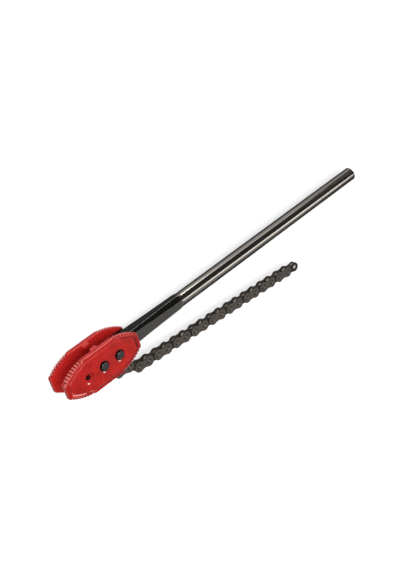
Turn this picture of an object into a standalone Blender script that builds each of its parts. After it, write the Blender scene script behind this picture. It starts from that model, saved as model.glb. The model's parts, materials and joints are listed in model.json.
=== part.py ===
"""Chain pipe wrench with two toothed jaws, a forged handle and a flat-link chain.

The tool lies flat. X runs along the handle, away from the jaws, and Z is square to the jaws' faces.
The origin is on the lower jaw's outer face, midway between its front and middle holes. Every height
is worked out from the middle plane of the tool, where the chain runs. Sizes are in metres.
"""

import math

import bmesh
import bpy
from mathutils import Matrix

# Jaws: one forging, used twice, the lower one turned over
JAW_LENGTH = 0.2262
JAW_HEIGHT = 0.0976
JAW_EDGE_LENGTH = 0.0888  # straight edge between the two toothed arcs of one side
JAW_END_HEIGHT = 0.0394  # blunt end between two arcs
JAW_ARC_RISE = 0.0053  # how far a toothed arc stands out from its chord
JAW_THICKNESS = 0.0129
JAW_GAP = 0.0442  # between the two inner faces
HOLE_SPACING = 0.0485
HOLE_DIAMETER = 0.0135
COUNTERBORE_DIAMETER = 0.029
COUNTERBORE_DEPTH = 0.0036

# Teeth, cut along the four arcs of each jaw
TEETH_PER_ARC = 9
TOOTH_DEPTH = 0.0027
TOOTH_FLANK_SHARES = (0.06, 0.26, 0.74, 0.94)  # of one pitch: floor, tip, tip, floor
TOOTH_CHAMFER_WIDTH = 0.006
TOOTH_CHAMFER_DEPTH = 0.0025
CHAMFER_START_SHARE = 0.88  # of the last tooth, where the chamfer begins beside the straight edge

# Raised panel on each jaw's outer face
PANEL_RISE = 0.002
PANEL_SLOPE = 0.0022
PANEL_EDGE_INSET = 0.008
PANEL_ARC_INSET = 0.0112
PANEL_END_INSET = 0.0115
PANEL_ARC_POINTS = 7

# Lugs inside the jaws, which hold the ends of a chain pin
LUG_GAP = 0.0206  # between the lugs of the two jaws
LUG_LENGTH = 0.017
LUG_HEIGHT = 0.0105
LUG_DRAFT = 0.0035  # how much wider a lug is at its root, each way
LUG_SETBACK = 0.0006  # from the jaw's straight edge

# Handle: flat end between the jaws, eight-sided shank, round bar
TANG_HEIGHT = 0.0414
TANG_END_X = 0.108  # places along the handle are counted from the jaws' middle hole
NOSE_RADIUS = 0.016
NOSE_SHOULDER_X = 0.005
SHANK_SIZE_AT_JAWS = 0.0414
SHANK_SIZE = 0.040
SHANK_CORNER_AT_JAWS = 0.0068
SHANK_CORNER_MIDDLE = 0.0093
SHANK_CORNER_AT_BAR = 0.012
SHANK_START_X = 0.100
SHANK_MIDDLE_X = 0.185
SHANK_END_X = 0.268
BAR_START_X = 0.284
BAR_END_X = 0.9675
BAR_DIAMETER = 0.0381
BAR_EDGE_RADIUS = 0.004
BAR_DOME = 0.0015
BAR_SIDES = 24

# Jaw bolts and thin nuts, M12
BOLT_DIAMETER = 0.012
BOLT_FLATS = 0.019
BOLT_HEAD_HEIGHT = 0.0075
BOLT_CHAMFER = 0.0012
NUT_HEIGHT = 0.006
BOLT_POINT_INSET = 0.0006  # the bolt's end stays this far inside the nut
BOLT_SIDES = 24

# Anchor: cross pin in the handle's forked nose, and the forged eye bar that swings on it
ANCHOR_X = -0.024
ANCHOR_PIN_DIAMETER = 0.012
ANCHOR_LINK_LENGTH = 0.0506
ANCHOR_LINK_THICKNESS = 0.0134
ANCHOR_LINK_WIDTH = 0.015
ANCHOR_EYE_RADIUS = 0.0115
ANCHOR_EYE_FILLET = 0.008

# Chain: outer links of two plates and two riveted pins, inner links of two plates and two bushes
CHAIN_LINKS = 22
CHAIN_PITCH = 0.03175
PLATE_THICKNESS = 0.0028
OUTER_PLATE_RADIUS = 0.0143
OUTER_PLATE_WAIST = 0.0212
INNER_PLATE_RADIUS = 0.013
INNER_PLATE_WAIST = 0.0204
PIN_DIAMETER = 0.0106
PIN_HEAD_DIAMETER = 0.0134
PIN_HEAD_HEIGHT = 0.002
PIN_HEAD_CHAMFER = 0.0008
BUSH_DIAMETER = 0.0156
ROUND_SIDES = 12
PLATE_END_STEPS = 9
PLATE_WAIST_STEPS = 3

# How the chain lies: directions of the anchor link and of the first links, then of all the others
ANCHOR_DIRECTION = math.radians(-82.7)
FIRST_DIRECTIONS = [math.radians(a) for a in (-6.0, -16.0, -8.0, -34.9)]
CHAIN_DIRECTION = math.radians(-5.26)

# Clearances
SEAT_GAP = 0.0003  # between faces that touch on the real tool
RUNNING_GAP = 0.0003  # round a pin in its bush, and between plates
OVERLAP = 0.001  # how far joined shapes run into each other, and cutters past a face

# Colours, as linear red, green and blue, with roughness and metallic value
RED_PAINT = ((0.52, 0.018, 0.016), 0.25, 0.0)
BLACK_PAINT = ((0.012, 0.012, 0.011), 0.35, 0.0)
OILED_STEEL = ((0.11, 0.095, 0.085), 0.42, 1.0)
BOLT_STEEL = ((0.16, 0.165, 0.16), 0.45, 1.0)

# Worked out from the sizes above
JAW_CENTRE_X = HOLE_SPACING / 2
INNER_FACE = JAW_GAP / 2
MARGIN_FACE = INNER_FACE + JAW_THICKNESS
PANEL_FACE = MARGIN_FACE + PANEL_RISE
MIDDLE_Z = PANEL_FACE
TANG_HALF = INNER_FACE - SEAT_GAP
SEAT_FACE = PANEL_FACE - COUNTERBORE_DEPTH
INNER_PLATE_FACE = ANCHOR_LINK_THICKNESS / 2
OUTER_PLATE_FACE = INNER_PLATE_FACE + RUNNING_GAP + PLATE_THICKNESS
PIN_BORE_DIAMETER = PIN_DIAMETER + 2 * RUNNING_GAP
ANCHOR_BORE_DIAMETER = ANCHOR_PIN_DIAMETER + 2 * RUNNING_GAP


def circle(radius, sides=ROUND_SIDES, centre=(0.0, 0.0)):
    """Points round a centre, counter-clockwise."""
    turns = [2 * math.pi * i / sides for i in range(sides)]
    return [(centre[0] + radius * math.cos(t), centre[1] + radius * math.sin(t)) for t in turns]


def hexagon(flats, sides=BOLT_SIDES):
    """A hexagon with its corners and points along its sides, to match a circle of that many sides."""
    points = []
    for i in range(sides):
        turn = 2 * math.pi * i / sides
        reach = flats / 2 / math.cos(turn % (math.pi / 3) - math.pi / 6)
        points.append((reach * math.cos(turn), reach * math.sin(turn)))
    return points


def arc(centre, radius, start, end, steps):
    """Points on an arc, both ends included."""
    turns = [start + (end - start) * i / steps for i in range(steps + 1)]
    return [(centre[0] + radius * math.cos(t), centre[1] + radius * math.sin(t)) for t in turns]


def at_height(outline, height):
    return [(x, y, height) for x, y in outline]


def loft(rings, ring_closed=False):
    """A mesh through rings of equal counts. The last ring joins the first, or both ends are capped."""
    mesh = bpy.data.meshes.new("loft")
    shape = bmesh.new()
    loops = [[shape.verts.new(point) for point in ring] for ring in rings]
    pairs = list(zip(loops, loops[1:]))
    if ring_closed:
        pairs.append((loops[-1], loops[0]))
    else:
        shape.faces.new(reversed(loops[0]))
        shape.faces.new(loops[-1])
    for low, high in pairs:
        for i in range(len(low)):
            following = (i + 1) % len(low)
            shape.faces.new((low[i], low[following], high[following], high[i]))
    shape.to_mesh(mesh)
    shape.free()
    return mesh


def prism(outline, low, high):
    return loft([at_height(outline, low), at_height(outline, high)])


def merged(meshes):
    """One mesh of several separate bodies, to use in one Boolean."""
    shape = bmesh.new()
    for mesh in meshes:
        shape.from_mesh(mesh)
    whole = bpy.data.meshes.new("merged")
    shape.to_mesh(whole)
    shape.free()
    return whole


def moved(mesh, x=0.0, y=0.0, z=0.0):
    copy = mesh.copy()
    copy.transform(Matrix.Translation((x, y, z)))
    return copy


def combined(base, steps):
    """The base mesh after each Boolean step, given as (operation, mesh)."""
    body = bpy.data.objects.new("body", base)
    bpy.context.scene.collection.objects.link(body)
    helpers = [body]
    for operation, mesh in steps:
        helper = bpy.data.objects.new("helper", mesh)
        bpy.context.scene.collection.objects.link(helper)
        helper.hide_render = True
        helper.display_type = "WIRE"
        modifier = body.modifiers.new(operation, "BOOLEAN")
        modifier.operation = operation
        modifier.object = helper
        helpers.append(helper)
    graph = bpy.context.evaluated_depsgraph_get()
    result = bpy.data.meshes.new_from_object(body.evaluated_get(graph))
    for helper in helpers:
        bpy.data.objects.remove(helper)
    return result


def painted(name, colours):
    """A Principled material from a colour, a roughness and a metallic value."""
    colour, roughness, metallic = colours
    material = bpy.data.materials.new(name)
    material.use_nodes = True
    shader = material.node_tree.nodes["Principled BSDF"]
    shader.inputs["Base Color"].default_value = (*colour, 1.0)
    shader.inputs["Roughness"].default_value = roughness
    shader.inputs["Metallic"].default_value = metallic
    return material


def place(name, mesh, material, x=0.0, y=0.0, z=MIDDLE_Z, turn=(0.0, 0.0, 0.0), parent=None):
    """A named object. A parent's frame is used when there is one."""
    node = bpy.data.objects.new(name, mesh)
    bpy.context.scene.collection.objects.link(node)
    if not mesh.materials:
        mesh.materials.append(material)
        mesh.shade_smooth()
        mesh.set_sharp_from_angle(angle=math.radians(30.0))
    node.parent = parent
    node.location = (x, y, z)
    node.rotation_euler = turn
    return node


def jaw_arc():
    """Centre and radius of the toothed arc at +X and +Y, and its directions at the end and at the edge."""
    corner = (JAW_EDGE_LENGTH / 2, JAW_HEIGHT / 2)
    end = (JAW_LENGTH / 2, JAW_END_HEIGHT / 2)
    chord = math.dist(corner, end)
    radius = (chord**2 / 4 + JAW_ARC_RISE**2) / (2 * JAW_ARC_RISE)
    depth = (radius - JAW_ARC_RISE) / chord
    centre_x = (corner[0] + end[0]) / 2 + (end[1] - corner[1]) * depth
    centre_y = (corner[1] + end[1]) / 2 + (corner[0] - end[0]) * depth
    end_turn = math.atan2(end[1] - centre_y, end[0] - centre_x)
    edge_turn = math.atan2(corner[1] - centre_y, corner[0] - centre_x)
    return (centre_x, centre_y), radius, end_turn, edge_turn


def arc_point(turn, inset):
    """A point of the toothed arc, moved inwards along the arc's radius."""
    centre, radius, _, _ = jaw_arc()
    return (centre[0] + (radius - inset) * math.cos(turn), centre[1] + (radius - inset) * math.sin(turn))


def turn_at_end(inset, end_inset):
    """Where the arc, moved inwards by inset, crosses the blunt end, moved inwards by end_inset."""
    centre, radius, _, _ = jaw_arc()
    return math.acos((JAW_LENGTH / 2 - end_inset - centre[0]) / (radius - inset))


def four_fold(quarter):
    """The whole outline, counter-clockwise, from its quarter at +X and +Y."""
    outline = quarter + [(-x, y) for x, y in reversed(quarter)]
    return outline + [(-x, -y) for x, y in outline]


def jaw_plate():
    """The toothed plate. The grooves cross the edge and fade out over the chamfer of the outer face."""
    floor_start, tip_start, tip_end, floor_end = TOOTH_FLANK_SHARES
    grooves = []
    for tooth in range(TEETH_PER_ARC):
        if tooth > 0:
            grooves += [(tooth + floor_start, TOOTH_DEPTH)]
        grooves += [(tooth + tip_start, 0.0)]
        if tooth < TEETH_PER_ARC - 1:
            grooves += [(tooth + tip_end, 0.0), (tooth + floor_end, TOOTH_DEPTH)]
    grooves += [(TEETH_PER_ARC - 1 + CHAMFER_START_SHARE, 0.0)]
    _, _, end_turn, edge_turn = jaw_arc()
    turns = [end_turn + (edge_turn - end_turn) * place / TEETH_PER_ARC for place, _ in grooves]
    corner = [arc_point(edge_turn, 0.0)]
    toothed = [arc_point(end_turn, 0.0)]
    toothed += [arc_point(turn, depth) for turn, (_, depth) in zip(turns, grooves)]
    faded = [arc_point(turn_at_end(TOOTH_CHAMFER_WIDTH, 0.0), TOOTH_CHAMFER_WIDTH)]
    faded += [arc_point(turn, TOOTH_CHAMFER_WIDTH) for turn in turns]
    return loft(
        [
            at_height(four_fold(toothed + corner), INNER_FACE),
            at_height(four_fold(toothed + corner), MARGIN_FACE - TOOTH_CHAMFER_DEPTH),
            at_height(four_fold(faded + corner), MARGIN_FACE),
        ]
    )


def panel_section(widening, height):
    """The panel's outline, which leaves the arcs to follow the straight edge at its last point."""
    inset = PANEL_ARC_INSET + widening
    start = turn_at_end(inset, PANEL_END_INSET + widening)
    edge_turn = jaw_arc()[3]
    steps = PANEL_ARC_POINTS - 1
    quarter = [arc_point(start + (edge_turn - start) * i / steps, inset) for i in range(steps)]
    quarter.append(arc_point(edge_turn, PANEL_EDGE_INSET + widening))
    return at_height(four_fold(quarter), height)


def jaw_panel():
    """The raised panel with its sloped border, sunk into the plate to join it."""
    foot = -PANEL_SLOPE * OVERLAP / PANEL_RISE
    return loft([panel_section(foot, MARGIN_FACE - OVERLAP), panel_section(PANEL_SLOPE, PANEL_FACE)])


def lug():
    """A drafted block at the middle of the jaw's upper edge, on its inner face."""
    outer = JAW_HEIGHT / 2 - LUG_SETBACK

    def section(widening, height):
        half = LUG_LENGTH / 2 + widening
        inner = outer - LUG_HEIGHT - widening
        return at_height([(-half, inner), (half, inner), (half, outer), (-half, outer)], height)

    return loft([section(0.0, LUG_GAP / 2), section(LUG_DRAFT, INNER_FACE + OVERLAP)])


def stepped_hole():
    """Cutter for a bolt hole with its counterbore, open at both faces."""
    hole = circle(HOLE_DIAMETER / 2, BOLT_SIDES)
    bore = circle(COUNTERBORE_DIAMETER / 2, BOLT_SIDES)
    return loft(
        [
            at_height(hole, INNER_FACE - OVERLAP),
            at_height(hole, SEAT_FACE),
            at_height(bore, SEAT_FACE),
            at_height(bore, PANEL_FACE + OVERLAP),
        ]
    )


def jaw_mesh():
    """The upper jaw, with heights counted from the tool's middle plane."""
    far_lug = lug()
    far_lug.transform(Matrix.Rotation(math.pi, 4, "Z"))
    holes = merged([moved(stepped_hole(), x=step * HOLE_SPACING) for step in (-1, 0, 1)])
    return combined(
        jaw_plate(),
        [("UNION", jaw_panel()), ("UNION", merged([lug(), far_lug])), ("DIFFERENCE", holes)],
    )


def tang():
    """The handle's flat end, with a round nose about the anchor pin."""
    shoulder = (NOSE_SHOULDER_X - ANCHOR_X, TANG_HEIGHT / 2)
    tangent = math.atan2(shoulder[1], shoulder[0]) + math.acos(NOSE_RADIUS / math.hypot(*shoulder))
    outline = arc((ANCHOR_X, 0.0), NOSE_RADIUS, tangent, 2 * math.pi - tangent, PLATE_END_STEPS)
    outline += [(NOSE_SHOULDER_X, -shoulder[1]), (TANG_END_X, -shoulder[1])]
    outline += [(TANG_END_X, shoulder[1]), (NOSE_SHOULDER_X, shoulder[1])]
    return prism(outline, -TANG_HALF, TANG_HALF)


def eight_sided(x, size, corner):
    """A square section with cut corners, three points to a side, to match the round bar."""
    half = size / 2
    flat = half - corner
    corners = [(half, flat), (flat, half), (-flat, half), (-half, flat)]
    corners += [(-y, -z) for y, z in corners]
    ring = []
    for start, end in zip(corners, corners[1:] + corners[:1]):
        for share in (0.0, 1 / 3, 2 / 3):
            ring.append((x, start[0] + (end[0] - start[0]) * share, start[1] + (end[1] - start[1]) * share))
    return ring


def round_section(x, radius):
    """A round section whose first point stands at the first corner of the eight-sided one."""
    start = math.pi / 8
    turns = [start + 2 * math.pi * i / BAR_SIDES for i in range(BAR_SIDES)]
    return [(x, radius * math.cos(t), radius * math.sin(t)) for t in turns]


def shank_and_bar():
    """The eight-sided shank, its shoulder and the round bar with a rounded, slightly domed end."""
    radius = BAR_DIAMETER / 2
    rings = [
        eight_sided(SHANK_START_X, SHANK_SIZE_AT_JAWS, SHANK_CORNER_AT_JAWS),
        eight_sided(SHANK_MIDDLE_X, SHANK_SIZE, SHANK_CORNER_MIDDLE),
        eight_sided(SHANK_END_X, SHANK_SIZE, SHANK_CORNER_AT_BAR),
        round_section(BAR_START_X, radius),
    ]
    edge_x = BAR_END_X - BAR_DOME - BAR_EDGE_RADIUS
    for turn in (0.0, math.pi / 6, math.pi / 3, math.pi / 2):
        reach = radius - BAR_EDGE_RADIUS * (1 - math.cos(turn))
        rings.append(round_section(edge_x + BAR_EDGE_RADIUS * math.sin(turn), reach))
    rings.append(round_section(BAR_END_X, (radius - BAR_EDGE_RADIUS) / 2))
    return loft(rings)


def handle_mesh():
    """The forging, cut by the nose's slot and by the holes for the bolts and the anchor pin."""
    reach = TANG_HALF + OVERLAP
    slot_half = ANCHOR_LINK_THICKNESS / 2 + RUNNING_GAP
    slot_front = ANCHOR_X - NOSE_RADIUS - OVERLAP
    slot_back = ANCHOR_X + ANCHOR_EYE_RADIUS + 2 * RUNNING_GAP
    side = TANG_HEIGHT / 2 + OVERLAP
    corners = [(slot_front, -side), (slot_back, -side), (slot_back, side), (slot_front, side)]
    slot = prism(corners, -slot_half, slot_half)
    bolt_hole = prism(circle(HOLE_DIAMETER / 2, BOLT_SIDES), -reach, reach)
    pin_hole = prism(circle(ANCHOR_BORE_DIAMETER / 2, BOLT_SIDES, (ANCHOR_X, 0.0)), -reach, reach)
    holes = merged([bolt_hole, moved(bolt_hole, x=HOLE_SPACING), pin_hole])
    return combined(tang(), [("UNION", shank_and_bar()), ("DIFFERENCE", slot), ("DIFFERENCE", holes)])


def bolt_mesh():
    """A hex bolt from below the nut's face up to the head, which stands proud of the jaw's panel."""
    shank = circle(BOLT_DIAMETER / 2, BOLT_SIDES)
    head = hexagon(BOLT_FLATS)
    seat = SEAT_FACE + SEAT_GAP
    top = seat + BOLT_HEAD_HEIGHT
    point = -SEAT_FACE - SEAT_GAP - NUT_HEIGHT + BOLT_POINT_INSET
    return loft(
        [
            at_height(circle(BOLT_DIAMETER / 2 - BOLT_CHAMFER, BOLT_SIDES), point),
            at_height(shank, point + BOLT_CHAMFER),
            at_height(shank, seat),
            at_height(head, seat),
            at_height(head, top - BOLT_CHAMFER),
            at_height(circle(BOLT_FLATS / 2 - BOLT_CHAMFER / 2, BOLT_SIDES), top),
        ]
    )


def nut_mesh():
    """A thin hex nut, seated in the lower jaw's counterbore and a little proud of its panel."""
    top = -SEAT_FACE - SEAT_GAP
    bottom = top - NUT_HEIGHT
    outside = hexagon(BOLT_FLATS)
    chamfered = circle(BOLT_FLATS / 2 - BOLT_CHAMFER / 2, BOLT_SIDES)
    bore = circle(BOLT_DIAMETER / 2 + RUNNING_GAP, BOLT_SIDES)
    rings = [
        (chamfered, bottom),
        (outside, bottom + BOLT_CHAMFER),
        (outside, top),
        (bore, top),
        (bore, bottom),
    ]
    return loft([at_height(outline, height) for outline, height in rings], ring_closed=True)


def anchor_pin_mesh():
    return prism(circle(ANCHOR_PIN_DIAMETER / 2, BOLT_SIDES), -TANG_HALF, TANG_HALF)


def eye_side(eye_radius, half_width):
    """Where a fillet leaves an eye: its centre along the bar, and the angle on the eye."""
    reach = math.sqrt((eye_radius + ANCHOR_EYE_FILLET) ** 2 - (half_width + ANCHOR_EYE_FILLET) ** 2)
    return reach, math.atan2(half_width + ANCHOR_EYE_FILLET, reach)


def anchor_link_mesh():
    """A forged bar with an eye at each end, filleted into the bar."""
    half = ANCHOR_LINK_WIDTH / 2
    near_reach, near_turn = eye_side(ANCHOR_EYE_RADIUS, half)
    far_reach, far_turn = eye_side(INNER_PLATE_RADIUS, half)
    lift = half + ANCHOR_EYE_FILLET
    quarter = math.pi / 2
    far_x = ANCHOR_LINK_LENGTH - far_reach
    upper = arc((far_x, lift), ANCHOR_EYE_FILLET, -far_turn, -quarter, PLATE_WAIST_STEPS)
    upper += arc((near_reach, lift), ANCHOR_EYE_FILLET, -quarter, near_turn - math.pi, PLATE_WAIST_STEPS)
    near_eye = arc((0.0, 0.0), ANCHOR_EYE_RADIUS, near_turn, 2 * math.pi - near_turn, PLATE_END_STEPS)
    far_limit = math.pi - far_turn
    far_eye = arc((ANCHOR_LINK_LENGTH, 0.0), INNER_PLATE_RADIUS, -far_limit, far_limit, PLATE_END_STEPS)
    lower = [(x, -y) for x, y in reversed(upper)]
    outline = far_eye[:-1] + upper[:-1] + near_eye[:-1] + lower[:-1]
    bar = prism(outline, -ANCHOR_LINK_THICKNESS / 2, ANCHOR_LINK_THICKNESS / 2)
    reach = ANCHOR_LINK_THICKNESS / 2 + OVERLAP
    near_bore = prism(circle(ANCHOR_BORE_DIAMETER / 2, BOLT_SIDES), -reach, reach)
    far_bore = prism(circle(PIN_BORE_DIAMETER / 2, ROUND_SIDES, (ANCHOR_LINK_LENGTH, 0.0)), -reach, reach)
    return combined(bar, [("DIFFERENCE", merged([near_bore, far_bore]))])


def plate_outline(radius, waist):
    """A figure-eight link plate: two round ends and a hollow waist, all tangent."""
    half_pitch = CHAIN_PITCH / 2
    half_waist = waist / 2
    hollow = (half_pitch**2 + half_waist**2 - radius**2) / (2 * (radius - half_waist))
    depth = half_waist + hollow
    turn = math.atan2(depth, half_pitch)
    near = arc((0.0, 0.0), radius, turn, 2 * math.pi - turn, PLATE_END_STEPS)
    far = [(CHAIN_PITCH - x, -y) for x, y in near]
    upper = arc((half_pitch, depth), hollow, -turn, turn - math.pi, PLATE_WAIST_STEPS)
    lower = [(CHAIN_PITCH - x, -y) for x, y in upper]
    return near + lower[1:-1] + far + upper[1:-1]


def plate_pair(radius, waist, outer_face):
    outline = plate_outline(radius, waist)
    upper = prism(outline, outer_face - PLATE_THICKNESS, outer_face)
    lower = prism(outline, -outer_face, PLATE_THICKNESS - outer_face)
    return merged([upper, lower])


def outer_link_mesh():
    """Two plates and two riveted pins, which don't come apart."""
    top = OUTER_PLATE_FACE + PIN_HEAD_HEIGHT
    neck = OUTER_PLATE_FACE - PLATE_THICKNESS / 2
    levels = [
        (PIN_HEAD_DIAMETER / 2 - PIN_HEAD_CHAMFER, -top),
        (PIN_HEAD_DIAMETER / 2, PIN_HEAD_CHAMFER - top),
        (PIN_HEAD_DIAMETER / 2, -neck),
        (PIN_DIAMETER / 2, -neck),
        (PIN_DIAMETER / 2, neck),
        (PIN_HEAD_DIAMETER / 2, neck),
        (PIN_HEAD_DIAMETER / 2, top - PIN_HEAD_CHAMFER),
        (PIN_HEAD_DIAMETER / 2 - PIN_HEAD_CHAMFER, top),
    ]
    pin = loft([at_height(circle(radius), height) for radius, height in levels])
    plates = plate_pair(OUTER_PLATE_RADIUS, OUTER_PLATE_WAIST, OUTER_PLATE_FACE)
    return combined(plates, [("UNION", merged([pin, moved(pin, x=CHAIN_PITCH)]))])


def inner_link_mesh():
    """Two plates pressed on two bushes, bored for the pins of the outer links."""
    bush_half = INNER_PLATE_FACE - PLATE_THICKNESS / 2
    bush = prism(circle(BUSH_DIAMETER / 2), -bush_half, bush_half)
    reach = INNER_PLATE_FACE + OVERLAP
    bore = prism(circle(PIN_BORE_DIAMETER / 2), -reach, reach)
    plates = plate_pair(INNER_PLATE_RADIUS, INNER_PLATE_WAIST, INNER_PLATE_FACE)
    bushes = merged([bush, moved(bush, x=CHAIN_PITCH)])
    bores = merged([bore, moved(bore, x=CHAIN_PITCH)])
    return combined(plates, [("UNION", bushes), ("DIFFERENCE", bores)])


def clear_scene():
    for thing in list(bpy.data.objects):
        bpy.data.objects.remove(thing)


def build_jaws():
    paint = painted("red paint", RED_PAINT)
    mesh = jaw_mesh()
    place("upper_jaw", mesh, paint, x=JAW_CENTRE_X)
    place("lower_jaw", mesh, paint, x=JAW_CENTRE_X, turn=(math.pi, 0.0, 0.0))


def build_handle():
    place("handle", handle_mesh(), painted("black paint", BLACK_PAINT), x=JAW_CENTRE_X)


def build_fasteners():
    steel = painted("bolt steel", BOLT_STEEL)
    bolt = bolt_mesh()
    nut = nut_mesh()
    for name, x in (("middle", JAW_CENTRE_X), ("rear", JAW_CENTRE_X + HOLE_SPACING)):
        place(f"{name}_jaw_bolt", bolt, steel, x=x)
        place(f"{name}_jaw_nut", nut, steel, x=x)


def build_chain():
    """The anchor and the chain, each link in the frame of the one before it."""
    steel = painted("oiled steel", OILED_STEEL)
    anchor_x = JAW_CENTRE_X + ANCHOR_X
    place("anchor_pin", anchor_pin_mesh(), steel, x=anchor_x)
    turn = (0.0, 0.0, ANCHOR_DIRECTION)
    before = place("anchor_link", anchor_link_mesh(), steel, x=anchor_x, turn=turn)
    meshes = (inner_link_mesh(), outer_link_mesh())
    directions = FIRST_DIRECTIONS + [CHAIN_DIRECTION] * (CHAIN_LINKS - len(FIRST_DIRECTIONS))
    length = ANCHOR_LINK_LENGTH
    heading = ANCHOR_DIRECTION
    for number, direction in enumerate(directions, start=1):
        turn = (0.0, 0.0, direction - heading)
        name = f"chain_link_{number:02d}"
        before = place(name, meshes[number % 2], steel, x=length, z=0.0, turn=turn, parent=before)
        length = CHAIN_PITCH
        heading = direction


def main():
    clear_scene()
    build_jaws()
    build_handle()
    build_fasteners()
    build_chain()


if __name__ == "__main__":
    main()
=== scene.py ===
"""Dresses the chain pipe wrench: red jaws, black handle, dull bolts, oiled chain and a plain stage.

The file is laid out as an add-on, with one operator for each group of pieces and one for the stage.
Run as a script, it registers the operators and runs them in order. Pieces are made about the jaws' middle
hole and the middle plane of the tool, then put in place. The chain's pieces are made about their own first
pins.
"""

import json
import math

import bmesh
import bpy
from mathutils import Matrix, Vector


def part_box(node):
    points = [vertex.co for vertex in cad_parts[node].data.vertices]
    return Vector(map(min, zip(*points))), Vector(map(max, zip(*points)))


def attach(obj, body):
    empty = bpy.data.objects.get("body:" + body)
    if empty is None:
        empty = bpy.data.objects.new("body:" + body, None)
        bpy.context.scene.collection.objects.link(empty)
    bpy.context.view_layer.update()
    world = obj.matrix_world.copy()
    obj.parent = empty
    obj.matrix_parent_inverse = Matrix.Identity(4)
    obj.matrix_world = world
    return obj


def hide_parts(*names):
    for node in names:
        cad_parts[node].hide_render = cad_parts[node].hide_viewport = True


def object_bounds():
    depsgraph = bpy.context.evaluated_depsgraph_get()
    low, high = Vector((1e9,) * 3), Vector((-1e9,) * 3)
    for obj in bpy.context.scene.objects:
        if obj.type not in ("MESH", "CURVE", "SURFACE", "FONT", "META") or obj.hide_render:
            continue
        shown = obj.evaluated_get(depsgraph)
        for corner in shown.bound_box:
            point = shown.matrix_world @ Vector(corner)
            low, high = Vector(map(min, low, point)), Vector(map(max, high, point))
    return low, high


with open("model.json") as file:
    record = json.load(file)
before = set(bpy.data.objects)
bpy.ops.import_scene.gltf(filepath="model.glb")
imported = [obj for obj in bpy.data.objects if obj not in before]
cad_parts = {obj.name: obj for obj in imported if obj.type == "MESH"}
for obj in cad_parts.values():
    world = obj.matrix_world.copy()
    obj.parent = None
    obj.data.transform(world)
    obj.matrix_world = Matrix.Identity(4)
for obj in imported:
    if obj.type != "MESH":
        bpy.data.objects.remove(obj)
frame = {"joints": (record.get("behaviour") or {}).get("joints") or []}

bl_info = {
    "name": "Chain pipe wrench",
    "version": (1, 0, 0),
    "blender": (4, 5, 0),
    "location": "View3D > Sidebar > Wrench",
    "description": "Dresses a packed chain pipe wrench with painted, forged and oiled finishes",
    "category": "Object",
}

CAD_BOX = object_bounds()
UPPER_LOW, UPPER_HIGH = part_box("upper_jaw")
LOWER_LOW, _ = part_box("lower_jaw")
_, HANDLE_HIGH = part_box("handle")
CENTRE = Vector(((UPPER_LOW.x + UPPER_HIGH.x) / 2, 0.0, (LOWER_LOW.z + UPPER_HIGH.z) / 2))
JOINT_PLACES = [Vector(joint["pos_m"]) for joint in frame["joints"]]
TO_PLACE = Matrix.Translation(CENTRE)
OVERRUN = 0.001  # how far cutters pass a face, and joined shapes run into each other
CLEARANCE = 0.0003  # round a pin or a bolt in its hole
FLOOR_GAP = 0.0002  # between the wrench and the floor
SHARP_TURN = math.radians(32)  # between two faces that stay hard against each other
TURNED_SIDES = 48
PIN_SIDES = 32
FASTENER_SIDES = 72
CORNER_SHARPNESS = 90  # of a hexagon's soft corners: higher is sharper
RING_STEPS = 4  # along each flat and each ridge of the shank

# Each lamp's name, place, width and depth, and share of the lamp power.
LAMPS = (
    ("high key lamp", (-0.65, 0.75, 2.4), (2.8, 2.8), 0.95),
    ("far strip lamp", (1.7, -0.28, 1.95), (0.6, 1.5), 0.07),
    ("dim front panel", (1.49, -1.06, 1.57), (1.4, 1.4), 0.026),
    ("low edge lamp", (1.4, 2.6, 0.25), (0.7, 0.4), 0.07),
    ("far horizon panel", (2.25, 2.6, 0.45), (0.9, 0.6), 0.024),
    ("far fill lamp", (-0.4, 3.0, 1.2), (2.0, 1.0), 0.2),
    ("low front lamp", (0.8, -2.3, 0.1), (1.0, 0.5), 0.1),
    ("glint lamp", (4.4, 2.0, 1.3), (0.6, 0.6), 0.4),
)
LAMP_TARGET = Vector((0.35, -0.03, 0.0))
CAMERA_PLACE = (-0.87215, 1.2619, 1.8620)
CAMERA_RIGHT = Vector((0.7001, -0.2648, 0.6631))
CAMERA_UP = Vector((0.5184, 0.8271, -0.2170))


def distance(name, description, default):
    """A length that a user would change."""
    return bpy.props.FloatProperty(
        name=name, description=description, default=default, precision=5, unit="LENGTH", subtype="DISTANCE"
    )


def colour(name, description, default):
    """A linear colour that a user would change."""
    return bpy.props.FloatVectorProperty(
        name=name, description=description, default=default, size=3, min=0.0, max=1.0, subtype="COLOR"
    )


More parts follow.
